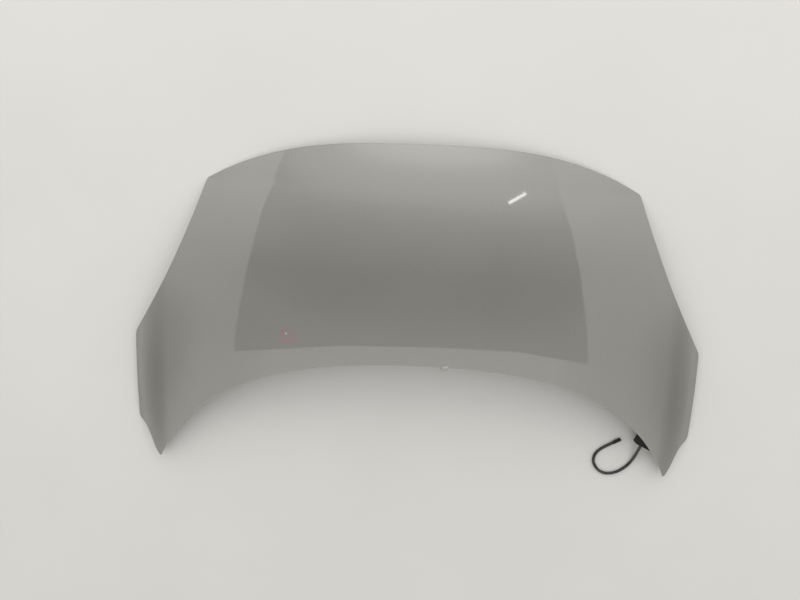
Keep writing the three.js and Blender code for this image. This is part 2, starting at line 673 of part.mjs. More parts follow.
// Grommet ring that holds the tip of the prop rod
function propSocket(under) {
  const neck = SOCKET_R - GROMMET_LIP;
  const low = under - SLIP - GROMMET_LIP;
  return turned([
    [SOCKET_BORE_R, low], [SOCKET_R, low], [SOCKET_R, under - SLIP], [neck, under - SLIP],
    [neck, SLIP], [SOCKET_R, SLIP], [SOCKET_R - GROMMET_LIP / 2, SLIP + GROMMET_LIP],
    [SOCKET_BORE_R, SLIP + GROMMET_LIP], [SOCKET_BORE_R, low],
  ]);
}

// C clip pushed into the channel, open towards the nose
function hoseClip(under) {
  const centre = under - SLIP - CLIP_WALL - HOSE_R - SLIP;
  const inside = HOSE_R + SLIP;
  const shape = new THREE.Shape();
  const [start, end] = CLIP_ARC.map((turn) => turn * Math.PI);
  shape.absarc(0, centre, inside + CLIP_WALL, start, end, false);
  shape.absarc(0, centre, inside, end, start, true);
  const ring = new THREE.ExtrudeGeometry(shape, { depth: CLIP_WIDTH, bevelEnabled: false, curveSegments: 12 })
    .translate(0, 0, -CLIP_WIDTH / 2).rotateX(Math.PI / 2).rotateZ(Math.PI / 2);
  const stemFoot = under - SLIP - CLIP_WALL / 2;
  const stem = placed(upright(CLIP_WALL, GROMMET_LIP - stemFoot, 8), 0, 0, (GROMMET_LIP + stemFoot) / 2);
  return join(ring, stem);
}

// Centre of the hose under the channel bottom at a share of the half width
function hoseUnder(u) {
  const holder = seatGroup(u, toV(HOSE_LINE));
  const drop = holder.userData.under - 2 * SLIP - CLIP_WALL - HOSE_R;
  return new THREE.Vector3(0, 0, drop).applyMatrix4(holder.matrix);
}

function hoseAlong(points) {
  const path = new THREE.CatmullRomCurve3(points, false, 'centripetal');
  return rod(path, HOSE_R, HOSE_SIDES, Math.ceil(path.getLength() / HOSE_STEP));
}

const skinGeometry = outerSkin();
const frameGeometry = innerFrame();
const pressings = new THREE.Box3();
for (const geometry of [skinGeometry, frameGeometry]) {
  geometry.computeBoundingBox();
  pressings.union(geometry.boundingBox);
}
const floorZ = pressings.min.z;
const onFloor = ([x, y, z]) => new THREE.Vector3(x, y, floorZ + z);

// Rubber block under the rear right corner, which passes the hose out past the edge
function hoseBlock() {
  const shape = new THREE.Shape(BLOCK_OUTLINE.map(([x, y]) => v2(x, y)));
  const height = BLOCK_Z[1] - BLOCK_Z[0];
  const body = new THREE.ExtrudeGeometry(shape, { depth: height, bevelEnabled: false })
    .translate(0, 0, floorZ + BLOCK_Z[0]);
  const studTop = crown(...BLOCK_STUD) - SKIN_T - CHANNEL_DEPTH / 2;
  const studFoot = floorZ + BLOCK_Z[1] - ROOT;
  const stud = placed(upright(STEM_R, studTop - studFoot), ...BLOCK_STUD, (studTop + studFoot) / 2);
  return join(body, stud);
}

// Twin spray jet that hooks over the rear edge of the skin
const jetU = JET_X / archCurve.getLength();
const jetEdge = latticeAt(skin, jetU, 0).point;

function washerJet() {
  const top = jetEdge.z + JET_SLIP;
  const bottom = jetEdge.z - HEM_DEPTH - JET_SLIP;
  const back = jetEdge.y - HEM_DEPTH / 2 - SLIP;
  const profile = [
    [back - JET_LEG, bottom - JET_BODY[1]], [back + JET_BODY[0], bottom - JET_BODY[1]],
    [back + JET_BODY[0], bottom], [back, bottom], [back, top], [jetEdge.y + JET_OVER, top],
    [jetEdge.y + JET_OVER, top + JET_WALL * JET_TIP], [back, top + JET_WALL], [back - JET_LEG, top],
  ];
  const shape = new THREE.Shape(profile.map(([y, z]) => v2(y, z)));
  return new THREE.ExtrudeGeometry(shape, { depth: JET_WIDTH, bevelEnabled: false })
    .rotateX(Math.PI / 2).rotateZ(Math.PI / 2)
    .translate(jetEdge.x - JET_WIDTH / 2, 0, 0);
}

// Hose held under the frame, from the block to the washer jet
function innerHose() {
  const height = middle(BLOCK_Z);
  const leave = INNER_START.map(([x, y]) => onFloor([x, y, height]));
  const run = [HOSE_TURNS[0], ...CLIPS_AT, HOSE_TURNS[1]].map(hoseUnder);
  const mouth = new THREE.Vector3(
    jetEdge.x + JET_WIDTH / 2 + SLIP, jetEdge.y + JET_BODY[0] / 2,
    jetEdge.z - HEM_DEPTH - JET_SLIP - JET_BODY[1] + HOSE_R + ROOT);
  const ahead = mouth.clone();
  ahead.x += 3 * HOSE_R;
  const turn = mouth.clone();
  turn.x += 7 * HOSE_R;
  turn.y += 3 * HOSE_R;
  turn.z -= HOSE_R;
  return hoseAlong([...leave, ...run, turn, ahead, mouth]);
}

// Moulded cuff on the free end
function cuff() {
  const [before, end] = HOSE_ROUTE.slice(-2).map(onFloor);
  const away = end.clone().sub(before).setZ(0).normalize();
  const geometry = new THREE.CylinderGeometry(CUFF_R, CUFF_R, CUFF_LENGTH, HOSE_SIDES)
    .rotateY(Math.PI / HOSE_SIDES);
  const holder = new THREE.Group();
  holder.position.copy(end).addScaledVector(away, CUFF_LENGTH / 2 + SLIP);
  holder.position.z = floorZ + CUFF_R;
  holder.rotation.z = Math.atan2(away.y, away.x) - Math.PI / 2;
  return { geometry, holder };
}

// Mastic dab on the outer deck lip of a window, inside one facet of the deck
function masticDab({ u, v }) {
  const outer = middle(u) < 0 ? u[0] + WINDOW_LIP / 2 : u[1] - WINDOW_LIP / 2;
  const j = cellOf(frame.vs, toV(middle(v)));
  const along = [frame.vs[j], frame.vs[j + 1]];
  const wide = toU(MASTIC_WIDTH) / 2;
  const deep = (along[1] - along[0]) * MASTIC_SHARE / 2;
  const [nodesTop, nodesLow] = [[], []];
  for (let k = 0; k < 8; k += 1) {
    const angle = (k + 0.5) * Math.PI / 4;
    const spot = [toU(outer) + wide * Math.cos(angle), middle(along) + deep * Math.sin(angle)];
    nodesTop.push(lowered(latticeAt(skin, ...spot).point, SKIN_T + SLIP));
    nodesLow.push(lowered(latticeAt(frame, ...spot).point, -SLIP));
  }
  const position = [...nodesTop, ...nodesLow].flatMap((p) => [p.x, p.y, p.z]);
  const index = [];
  for (let k = 1; k < 7; k += 1) index.push(0, k, k + 1, 8, 8 + k + 1, 8 + k);
  for (let k = 0; k < 8; k += 1) {
    const n = (k + 1) % 8;
    index.push(n, k, 8 + k, n, 8 + k, 8 + n);
  }
  const geometry = new THREE.BufferGeometry();
  geometry.setAttribute('position', new THREE.Float32BufferAttribute(position, 3));
  geometry.setIndex(index);
  return geometry;
}

addPiece('outer_skin', skinGeometry, PAINT);
addPiece('inner_frame', frameGeometry, UNDERCOAT);
hingeHolders.forEach(addHinge);
addLatch();
for (const { side, holder } of bufferHolders) {
  group.add(holder);
  addPiece(`buffer_${side}`, buffer(holder.userData.under), RUBBER, holder);
}
group.add(socketHolder);
addPiece('prop_socket', propSocket(socketHolder.userData.under), RUBBER, socketHolder);
clipHolders.forEach((holder, k) => {
  group.add(holder);
  addPiece(`hose_clip_${k + 1}`, hoseClip(holder.userData.under), CLIP_PLASTIC, holder);
});
windowBands().forEach((band, k) => {
  addPiece(`mastic_dab_${k + 1}`, masticDab(band), MASTIC);
});
addPiece('washer_hose_inner', innerHose(), HOSE_RUBBER);
addPiece('washer_jet', washerJet(), JET_PLASTIC);
addPiece('hose_block', hoseBlock(), RUBBER);
addPiece('washer_hose_free', hoseAlong(HOSE_ROUTE.map(onFloor)), HOSE_RUBBER);
const { geometry: cuffGeometry, holder: cuffHolder } = cuff();
group.add(cuffHolder);
addPiece('hose_cuff', cuffGeometry, RUBBER, cuffHolder);

group.position.set(0, -(pressings.min.y + pressings.max.y) / 2, -floorZ);

export default group;
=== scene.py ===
import json
import math

import bmesh
import bpy
import numpy as np
from mathutils import Matrix, Vector


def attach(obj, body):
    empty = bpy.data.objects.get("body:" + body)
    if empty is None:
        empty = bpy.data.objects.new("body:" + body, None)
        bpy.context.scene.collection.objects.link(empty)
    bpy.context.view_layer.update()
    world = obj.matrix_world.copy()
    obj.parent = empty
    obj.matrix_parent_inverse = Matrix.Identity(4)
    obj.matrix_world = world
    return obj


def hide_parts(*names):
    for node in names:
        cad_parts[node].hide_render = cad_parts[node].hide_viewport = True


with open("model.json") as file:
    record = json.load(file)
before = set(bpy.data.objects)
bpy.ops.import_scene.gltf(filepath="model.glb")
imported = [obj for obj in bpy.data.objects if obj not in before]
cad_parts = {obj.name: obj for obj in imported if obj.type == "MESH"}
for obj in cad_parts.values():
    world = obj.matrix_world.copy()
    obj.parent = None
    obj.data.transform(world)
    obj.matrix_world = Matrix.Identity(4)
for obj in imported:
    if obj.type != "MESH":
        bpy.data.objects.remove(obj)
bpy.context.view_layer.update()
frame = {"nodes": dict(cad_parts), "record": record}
nodes = frame["nodes"]

# Plan outline and crown of the skin in millimetres, Y from the rear tips
LENGTH, ARCH_Y, CORNER_Y, FRONT_Y, KINK_Y = 827, 300, 331, 728, 100
TIP_HALF, KINK_HALF, HALF_WIDTH, FRONT_HALF = 662, 721, 725, 544
ARCH = [(0, 300), (360, 300), (558, 208), (662, 0)]
NOSE = [(0, 827), (200, 827), (364, 827), (544, 728)]
TAPER = [(662, 0), (688, 35), (685, 85), (721, 100)]
LAMP = [(725, 331), (598, 513), (544, 728)]
CROWN_Z, CROWN_Y, CROWN_RADIUS = 141.6, 410, 2200
ROLL_Y, ROLL_RADIUS, ROLL_EASE = 520, 800, 60
REAR_CROSS_RADIUS, NOSE_CROSS_RADIUS = 2700, 1600
SHOULDER_X, SHOULDER_RADIUS = 632, 200
CENTRE_LENGTH = LENGTH - ARCH_Y
SHIFT_Y, FLOOR_Z = -414.128, -2.703

# Sheets and hem
SKIN_T, FRAME_T, SLIP = 0.8, 0.7, 0.3
HEM_GAP = FRAME_T + 2 * SLIP
HEM_DEPTH = 2 * SKIN_T + HEM_GAP
HEM_WIDTH, HEM_BULGE = 12, 0.85
CORNER_ROUND = 4


def mm(points):
    """Millimetres from the rear tips, as metres in the part's own frame."""
    points = np.asarray(points, float)
    return (points + [0, SHIFT_Y, -FLOOR_Z]) / 1000


def on_floor(points):
    """As mm(), the height being above the floor."""
    return (np.asarray(points, float) + [0, SHIFT_Y, 0]) / 1000


def bezier(handles, count=1500):
    t = np.linspace(0, 1, count)[:, None]
    n = len(handles) - 1
    return sum(math.comb(n, k) * (1 - t) ** (n - k) * t**k * np.array(p, float)
               for k, p in enumerate(handles))


def by_length(points):
    """Function that gives the point at a share of the curve's length."""
    steps = np.concatenate([[0], np.cumsum(np.linalg.norm(np.diff(points, axis=0), axis=1))])
    share = steps / steps[-1]
    return lambda s: np.stack([np.interp(s, share, points[:, k]) for k in range(points.shape[1])], -1)


arch_at, nose_at, taper_at, lamp_at = (by_length(bezier(c)) for c in (ARCH, NOSE, TAPER, LAMP))


def side_table(count=1501, rounding=7):
    """Side edge over v from 0 to 1, its two bends rounded off."""
    kink, corner = KINK_Y / FRONT_Y, CORNER_Y / FRONT_Y
    v = np.linspace(0, 1, count)
    wing = np.stack([np.interp(v, [kink, corner], [KINK_HALF, HALF_WIDTH]), v * FRONT_Y], -1)
    side = np.where((v < kink)[:, None], taper_at(v / kink), wing)
    side = np.where((v > corner)[:, None], lamp_at((v - corner) / (1 - corner)), side)
    half = int(rounding / FRONT_Y * count)
    ends = [2 * side[0] - side[half:0:-1], side, 2 * side[-1] - side[-2:-half - 2:-1]]
    padded = np.concatenate(ends)
    kernel = np.ones(2 * half + 1) / (2 * half + 1)
    return v, np.stack([np.convolve(padded[:, k], kernel, "valid") for k in (0, 1)], -1)


SIDE_V, SIDE_XY = side_table()


def crown(x, y):
    """Height of the outer face, with the floor at FLOOR_Z."""
    forward = np.clip((y - KINK_Y) / (FRONT_Y - KINK_Y), 0, 1)
    cross = 1 / REAR_CROSS_RADIUS + (1 / NOSE_CROSS_RADIUS - 1 / REAR_CROSS_RADIUS) * forward**2
    past = np.maximum(0, y - ROLL_Y + ROLL_EASE / 2)
    round_part = (past - ROLL_EASE / 2) ** 2 / 2 + ROLL_EASE**2 / 24
    roll = np.where(past < ROLL_EASE, past**3 / (6 * ROLL_EASE), round_part)
    turn = np.maximum(0, np.abs(x) - SHOULDER_X)
    return (CROWN_Z - (y - CROWN_Y) ** 2 / (2 * CROWN_RADIUS) - roll / ROLL_RADIUS
            - cross * x * x / 2 - turn**2 / (2 * SHOULDER_RADIUS))


def rounded(across, along):
    """Pulls places near a corner of the pattern in, so that the corner is round."""
    r = CORNER_ROUND
    s = np.clip(np.abs(across) - (HALF_WIDTH - r), 0, r)
    near_rear = along < CENTRE_LENGTH / 2
    t = np.clip(np.where(near_rear, r - along, along - (CENTRE_LENGTH - r)), 0, r)
    ds = s * np.sqrt(1 - t * t / (2 * r * r)) - s
    dt = t * np.sqrt(1 - s * s / (2 * r * r)) - t
    return across + np.sign(across) * ds, along + np.where(near_rear, -dt, dt)


def plan(across, along):
    """Plan position for a place on the flat pattern, across from -725 to 725, along from 0 to 527."""
    across, along = rounded(across, along)
    u, v = np.abs(across) / HALF_WIDTH, along / CENTRE_LENGTH
    rear, nose = arch_at(u), nose_at(u)
    side = np.stack([np.interp(v, SIDE_V, SIDE_XY[:, k]) for k in (0, 1)], -1)
    x = rear[..., 0] * (1 - v) + nose[..., 0] * v + u * (side[..., 0] - (TIP_HALF * (1 - v) + FRONT_HALF * v))
    y = rear[..., 1] * (1 - v) + nose[..., 1] * v + side[..., 1] - v * FRONT_Y
    return np.sign(across) * x, y


def ticks(stops, step):
    out = [stops[0]]
    for a, b in zip(stops, stops[1:]):
        count = max(1, math.ceil((b - a) / step - 1e-6))
        out += [a + (b - a) * k / count for k in range(1, count + 1)]
    return np.array(out)


EDGE_STOPS = [0, 0.6, 1.3, 2.2, 3.2, 4.4, 6, 8, 12, 18, 24]
SKIN_STEP, FRAME_STEP = 7.5, 7


def pattern(step):
    """Grid of pattern places, dense near the edges."""
    half = ticks([0, *(HALF_WIDTH - s for s in EDGE_STOPS[::-1])], step)
    across = np.concatenate([-half[:0:-1], half])
    along = ticks([*EDGE_STOPS, *(CENTRE_LENGTH - s for s in EDGE_STOPS[::-1])], step)
    return np.meshgrid(across, along)


def grid_quads(rows, columns):
    a = (np.arange(rows - 1)[:, None] * columns + np.arange(columns - 1)).ravel()
    return np.stack([a, a + 1, a + columns + 1, a + columns], -1)


def perimeter(rows, columns):
    """Edge nodes of a grid in order, seen from above against the clock."""
    first, last = np.arange(columns), np.arange(rows) * columns
    return np.concatenate([first[:-1], (last + columns - 1)[:-1],
                           first[:0:-1] + (rows - 1) * columns, last[:0:-1]])


def add_mesh(name, points, faces, material, sharp=35):
    mesh = bpy.data.meshes.new(name)
    mesh.from_pydata([tuple(p) for p in points], [], [tuple(f) for f in faces])
    mesh.materials.append(material)
    mesh.validate()
    mesh.shade_smooth()
    mesh.set_sharp_from_angle(angle=math.radians(sharp))
    piece = bpy.data.objects.new(name, mesh)
    bpy.context.scene.collection.objects.link(piece)
    return piece


def sheet_faces(quads, rim_loop, below):
    """Faces of a sheet from its outer quads, its rim loops and the count of its outer nodes."""
    faces = [tuple(q) for q in quads] + [tuple(q[::-1] + below) for q in quads]
    for loop in rim_loop:
        faces += [(a, a + below, b + below, b) for a, b in zip(loop, np.roll(loop, -1))]
    return faces


# Finishes


def linear(colour):
    """Linear colour from six sRGB hex digits."""
    parts = [int(colour[k:k + 2], 16) / 255 for k in (0, 2, 4)]
    return (*((c / 12.92 if c <= 0.04045 else ((c + 0.055) / 1.055) ** 2.4) for c in parts), 1.0)


def add(tree, kind, inputs=None, **settings):
    """Adds one node; an input takes a value or another node's output."""
    node = tree.nodes.new(kind)
    for name, value in settings.items():
        setattr(node, name, value)
    for key, value in (inputs or {}).items():
        if isinstance(value, bpy.types.NodeSocket):
            tree.links.new(value, node.inputs[key])
        else:
            node.inputs[key].default_value = value
    return node


def new_material(name):
    material = bpy.data.materials.new(name)
    material.use_nodes = True
    tree = material.node_tree
    shader = tree.nodes["Principled BSDF"]
    place = add(tree, "ShaderNodeTexCoord").outputs["Object"]
    return material, tree, shader, place


def noise(tree, place, size_mm, detail=2.0, roughness=0.5):
    """Noise whose features are about this many millimetres across."""
    return add(tree, "ShaderNodeTexNoise", {"Vector": place, "Scale": 1000 / size_mm,
                                            "Detail": detail, "Roughness": roughness}).outputs["Fac"]


def spread(tree, value, low, high, start=0.3, end=0.7):
    """Takes the usual middle range of a noise to low up to high."""
    return add(tree, "ShaderNodeMapRange", {"Value": value, "From Min": start, "From Max": end,
                                            "To Min": low, "To Max": high}).outputs["Result"]


def blend(tree, factor, a, b):
    node = add(tree, "ShaderNodeMix", {"Factor": factor}, data_type="RGBA")
    for socket, value in zip([node.inputs[6], node.inputs[7]], [a, b]):
        if isinstance(value, bpy.types.NodeSocket):
            tree.links.new(value, socket)
        else:
            socket.default_value = value
    return node.outputs[2]


def set_inputs(tree, shader, **values):
    for key, value in values.items():
        socket = shader.inputs[key.replace("_", " ")]
        if isinstance(value, bpy.types.NodeSocket):
            tree.links.new(value, socket)
        else:
            socket.default_value = value


def bump(tree, height, distance_mm, strength=1.0):
    return add(tree, "ShaderNodeBump", {"Height": height, "Distance": distance_mm / 1000,
                                        "Strength": strength}).outputs["Normal"]


# Stone chip and the ring drawn round it
CHIP_AT, MARK_AT, MARK_R = (-318.5, 362), (-315.5, 357.5), 14.3


def plan_distance(tree, place, spot):
    """Distance in plan from a spot given in millimetres."""
    offset = add(tree, "ShaderNodeVectorMath", {0: place, 1: tuple(mm([*spot, 0]))}, operation="SUBTRACT")
    flat = add(tree, "ShaderNodeVectorMath", {0: offset.outputs[0], 1: (1, 1, 0)}, operation="MULTIPLY")
    return add(tree, "ShaderNodeVectorMath", {0: flat.outputs[0]}, operation="LENGTH").outputs["Value"]


def silver_metallic_clear_coated():
    """Sprayed silver-grey metallic base with fine flake under clear coat, and a wax pencil ring
    drawn round a stone chip."""
    material, tree, shader, place = new_material("silver metallic, clear coated")
    cloud = noise(tree, place, 260, 3)
    flake = noise(tree, place, 1.6, 1)
    base = blend(tree, spread(tree, cloud, 0, 1), linear("888783"), linear("8d8c88"))
    base = blend(tree, spread(tree, flake, 0, 0.35), base, linear("9f9e9a"))
    wobble = spread(tree, noise(tree, place, 11, 2), -0.0022, 0.0022)
    radius = add(tree, "ShaderNodeMath", {0: plan_distance(tree, place, MARK_AT), 1: wobble}).outputs[0]
    from_ring = add(tree, "ShaderNodeMath", {0: radius, 1: MARK_R / 1000}, operation="SUBTRACT").outputs[0]
    off = add(tree, "ShaderNodeMath", {0: from_ring}, operation="ABSOLUTE").outputs[0]
    wax = spread(tree, off, 0.52, 0.0, 0.0012, 0.0034)
    base = blend(tree, wax, base, linear("bb6f7c"))
    chip = spread(tree, plan_distance(tree, place, CHIP_AT), 0.8, 0.0, 0.0016, 0.003)
    base = blend(tree, chip, base, linear("d8ccc8"))
    set_inputs(tree, shader, Base_Color=base, Metallic=0.85, Roughness=spread(tree, cloud, 0.48, 0.54),
               Coat_Weight=1.0, Coat_Roughness=spread(tree, noise(tree, place, 90, 3), 0.02, 0.05),
               Coat_IOR=1.9)
    return material


def thin_body_colour_over_primer():
    """Thin satin overspray of the body colour on primed pressed steel."""
    material, tree, shader, place = new_material("body colour over primer")
    cloud = noise(tree, place, 120, 4)
    base = blend(tree, spread(tree, cloud, 0, 1), linear("7c7b75"), linear("8d8b85"))
    grime = noise(tree, place, 28, 5, 0.6)
    base = blend(tree, spread(tree, grime, 0, 0.3, 0.5, 0.72), base, linear("5a574f"))
    set_inputs(tree, shader, Base_Color=base, Metallic=0.45, Roughness=spread(tree, grime, 0.42, 0.58),
               Normal=bump(tree, noise(tree, place, 2.2, 2), 0.05))
    return material


def zinc_passivated_steel():
    """Zinc plated and yellow passivated stamped steel."""
    material, tree, shader, place = new_material("yellow passivated zinc")
    cloud = noise(tree, place, 9, 3)
    base = blend(tree, spread(tree, cloud, 0, 1), linear("a99f80"), linear("bdb59c"))
    base = blend(tree, spread(tree, noise(tree, place, 14, 4), 0, 0.5, 0.55, 0.75), base, linear("b0a0a4"))
    set_inputs(tree, shader, Base_Color=base, Metallic=0.9, Roughness=spread(tree, cloud, 0.34, 0.5),
               Normal=bump(tree, noise(tree, place, 1.2, 2), 0.03))
    return material


def black_moulded_rubber():
    """Black rubber out of a blasted mould, slightly dusty."""
    material, tree, shader, place = new_material("black moulded rubber")
    dust = noise(tree, place, 12, 4)
    base = blend(tree, spread(tree, dust, 0, 0.6, 0.45, 0.75), linear("171718"), linear("3a3937"))
    set_inputs(tree, shader, Base_Color=base, Roughness=spread(tree, dust, 0.6, 0.8),
               Specular_IOR_Level=0.4, Normal=bump(tree, noise(tree, place, 0.8, 2), 0.04))
    return material


def extruded_hose_rubber():
    """Dark grey extruded rubber hose, a little lighter where it has rubbed."""
    material, tree, shader, place = new_material("extruded hose rubber")
    rub = noise(tree, place, 26, 3)
    base = blend(tree, spread(tree, rub, 0, 1, 0.4, 0.7), linear("232325"), linear("4a4648"))
    set_inputs(tree, shader, Base_Color=base, Roughness=spread(tree, rub, 0.42, 0.58),
               Specular_IOR_Level=0.45, Normal=bump(tree, noise(tree, place, 0.7, 2), 0.02))
    return material


def cured_mastic():
    """Grey mastic, cured with a dull skin."""
    material, tree, shader, place = new_material("cured mastic")
    lump = noise(tree, place, 5, 3)
    base = blend(tree, spread(tree, lump, 0, 1), linear("3d3b38"), linear("55524d"))
    set_inputs(tree, shader, Base_Color=base, Roughness=spread(tree, lump, 0.75, 0.92),
               Normal=bump(tree, lump, 0.5))
    return material


def pale_moulded_plastic():
    """Grey injection moulded plastic, fine grain."""
    material, tree, shader, place = new_material("pale moulded plastic")
    tone = noise(tree, place, 7, 3)
    base = blend(tree, spread(tree, tone, 0, 1), linear("9c9a94"), linear("a5a39c"))
    set_inputs(tree, shader, Base_Color=base, Roughness=spread(tree, tone, 0.4, 0.52),
               Normal=bump(tree, noise(tree, place, 0.6, 2), 0.02))
    return material


def black_nylon():
    """Black nylon clip, injection moulded."""
    material, tree, shader, place = new_material("black nylon")
    tone = noise(tree, place, 6, 3)
    base = blend(tree, spread(tree, tone, 0, 1), linear("1e1e20"), linear("2c2c2e"))
    set_inputs(tree, shader, Base_Color=base, Roughness=spread(tree, tone, 0.42, 0.56),
               Normal=bump(tree, noise(tree, place, 0.5, 2), 0.015))
    return material


PAINT = silver_metallic_clear_coated()
UNDERCOAT = thin_body_colour_over_primer()
ZINC = zinc_passivated_steel()
RUBBER = black_moulded_rubber()
HOSE_RUBBER = extruded_hose_rubber()
MASTIC = cured_mastic()
JET_PLASTIC = pale_moulded_plastic()
NYLON = black_nylon()
SLOTS = {"paint": PAINT, "undercoat": UNDERCOAT, "zinc": ZINC, "rubber": RUBBER, "hose": HOSE_RUBBER,
         "mastic": MASTIC, "jet_plastic": JET_PLASTIC, "clip_plastic": NYLON}
for part in frame["record"]["subparts"]:
    mesh = nodes[part["node"]].data
    mesh.materials.clear()
    mesh.materials.append(SLOTS[part["material_slot"]])


def own(piece, slot_name, *replaced):
    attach(piece, "root")
    if replaced:
        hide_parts(*replaced)
    return piece


# Camera, where the photo looks at the skin from

CAMERA_AT, CAMERA_TURNS = (-0.0352, 0.27165, 1.73497), {"X": -8.138, "Y": 0.397, "Z": 2.383}
camera = bpy.data.objects.new("camera", bpy.data.cameras.new("camera"))
camera.data.lens, camera.data.sensor_width = 30.6, 36
camera.matrix_world = Matrix.Translation(CAMERA_AT)
for axis, degrees in CAMERA_TURNS.items():
    camera.matrix_world = camera.matrix_world @ Matrix.Rotation(math.radians(degrees), 4, axis)
bpy.context.scene.collection.objects.link(camera)
bpy.context.scene.camera = camera

# Free washer hose on the floor, from the block to its cuff

HOSE_R, SPAN_STEPS = 3.75, 24
HOSE_POINTS, INNER_POINTS = 40, 150
HOSE_ROUTE = [
    (596.7, 82, 22), (594, 76.1, 21.6), (591.8, 63, 15), (588.6, 50, 9.5), (584, 38, 5.4),
    (576.5, 26, 3.9), (566, 15.4, 3.9), (550.3, 4.4, 3.9), (534, -1.9, 3.9), (517, -3.2, 3.9),
    (499.7, 3, 3.9), (487.7, 15.8, 3.9), (481.8, 31.5, 3.9), (485.8, 49, 3.9), (498.2, 63.1, 3.9),
    (514.2, 73.1, 3.9), (529.2, 81.6, 4.3),
]


def through(points, count):
    """Even points on the centripetal curve through the given points."""
    p = np.array(points, float)
    p = np.concatenate([[2 * p[0] - p[1]], p, [2 * p[-1] - p[-2]]])
    fine = []
    for a, b, c, d in zip(p, p[1:], p[2:], p[3:]):
        gaps = [math.sqrt(max(np.linalg.norm(q - r), 1e-6)) for q, r in ((b, a), (c, b), (d, c))]
        start = gaps[1] * ((b - a) / gaps[0] - (c - a) / (gaps[0] + gaps[1]) + (c - b) / gaps[1])
        end = gaps[1] * ((c - b) / gaps[1] - (d - b) / (gaps[1] + gaps[2]) + (d - c) / gaps[2])
        t = np.linspace(0, 1, SPAN_STEPS, endpoint=False)[:, None]
        fine.append((2 * t**3 - 3 * t**2 + 1) * b + (t**3 - 2 * t**2 + t) * start
                    + (3 * t**2 - 2 * t**3) * c + (t**3 - t**2) * end)
    fine = np.concatenate([*fine, p[-2:-1]])
    return by_length(fine)(np.linspace(0, 1, count))


def hose_curve(name, points, radius, material):
    """One open spline of a round section, the radius in millimetres."""
    curve = bpy.data.curves.new(name, "CURVE")
    curve.dimensions = "3D"
    curve.bevel_depth, curve.bevel_resolution = radius / 1000, 6
    curve.use_fill_caps = True
    curve.resolution_u = 4
    spline = curve.splines.new("NURBS")
    spline.points.add(len(points) - 1)
    for point, co in zip(spline.points, points):
        point.co = (*co, 1)
    spline.order_u, spline.use_endpoint_u = 4, True
    curve.materials.append(material)
    piece = bpy.data.objects.new(name, curve)
    bpy.context.scene.collection.objects.link(piece)
    return piece


free_points = on_floor(through(HOSE_ROUTE, HOSE_POINTS))
free_hose = hose_curve("free_washer_hose", free_points, HOSE_R, HOSE_RUBBER)
own(free_hose, "hose", "washer_hose_free")


def band(low, high, sides):
    """Faces between two closed rings that start at the given nodes."""
    return [(low + i, low + (i + 1) % sides, high + (i + 1) % sides, high + i) for i in range(sides)]


def lathe(name, profile, place, material, sides=32):
    """Turned body: profile of radius and height in millimetres about the Z axis of a matrix. A
    profile that ends where it starts makes a ring."""
    is_ring = profile[0] == profile[-1]
    if is_ring:
        profile = profile[:-1]
    angles = np.arange(sides) / sides * 2 * math.pi
    ring = np.stack([np.cos(angles), np.sin(angles)], -1)
    rings = [np.column_stack([ring * max(r, 1e-4), np.full(sides, z)]) for r, z in profile]
    points = [place @ Vector(p / 1000) for p in np.concatenate(rings)]
    faces = []
    for k in range(len(profile) - (not is_ring)):
        low, high = k * sides, (k + 1) % len(profile) * sides
        faces += band(low, high, sides)
    if not is_ring:
        faces.append(tuple(range(sides))[::-1])
        faces.append(tuple(range((len(profile) - 1) * sides, len(profile) * sides)))
    return add_mesh(name, points, faces, material)


CUFF_R = 4.6
CUFF_SIDE = [
    (0, 0), (4.0, 0), (4.6, 0.8), (4.6, 4), (4.25, 4.5), (4.25, 5.5), (4.6, 6), (4.6, 9), (4.25, 9.5),
    (4.25, 10.5), (4.6, 11), (4.6, 20.8), (4.1, 22), (2.4, 22), (2.1, 21.4), (2.1, 15), (0, 15),
]


def seated(at, normal):
    """Matrix at a place in metres with Z along a normal."""
    return Matrix.Translation(at) @ Vector(normal).to_track_quat("Z", "Y").to_matrix().to_4x4()


before, end = np.array(HOSE_ROUTE[-2]), np.array(HOSE_ROUTE[-1])
away = Vector((*(end - before)[:2], 0)).normalized()
cuff_place = seated(Vector(on_floor([end[0], end[1], CUFF_R])) + away * SLIP / 1000, away)
cuff = own(lathe("moulded_hose_cuff", CUFF_SIDE, cuff_place, RUBBER), "rubber", "hose_cuff")

# Outer skin: face, rounded fold and flat return of the hem, all one sheet

HEM_TURNS = (60, 30, 0, -30, -60, -90)  # degrees at which the fold has its rings


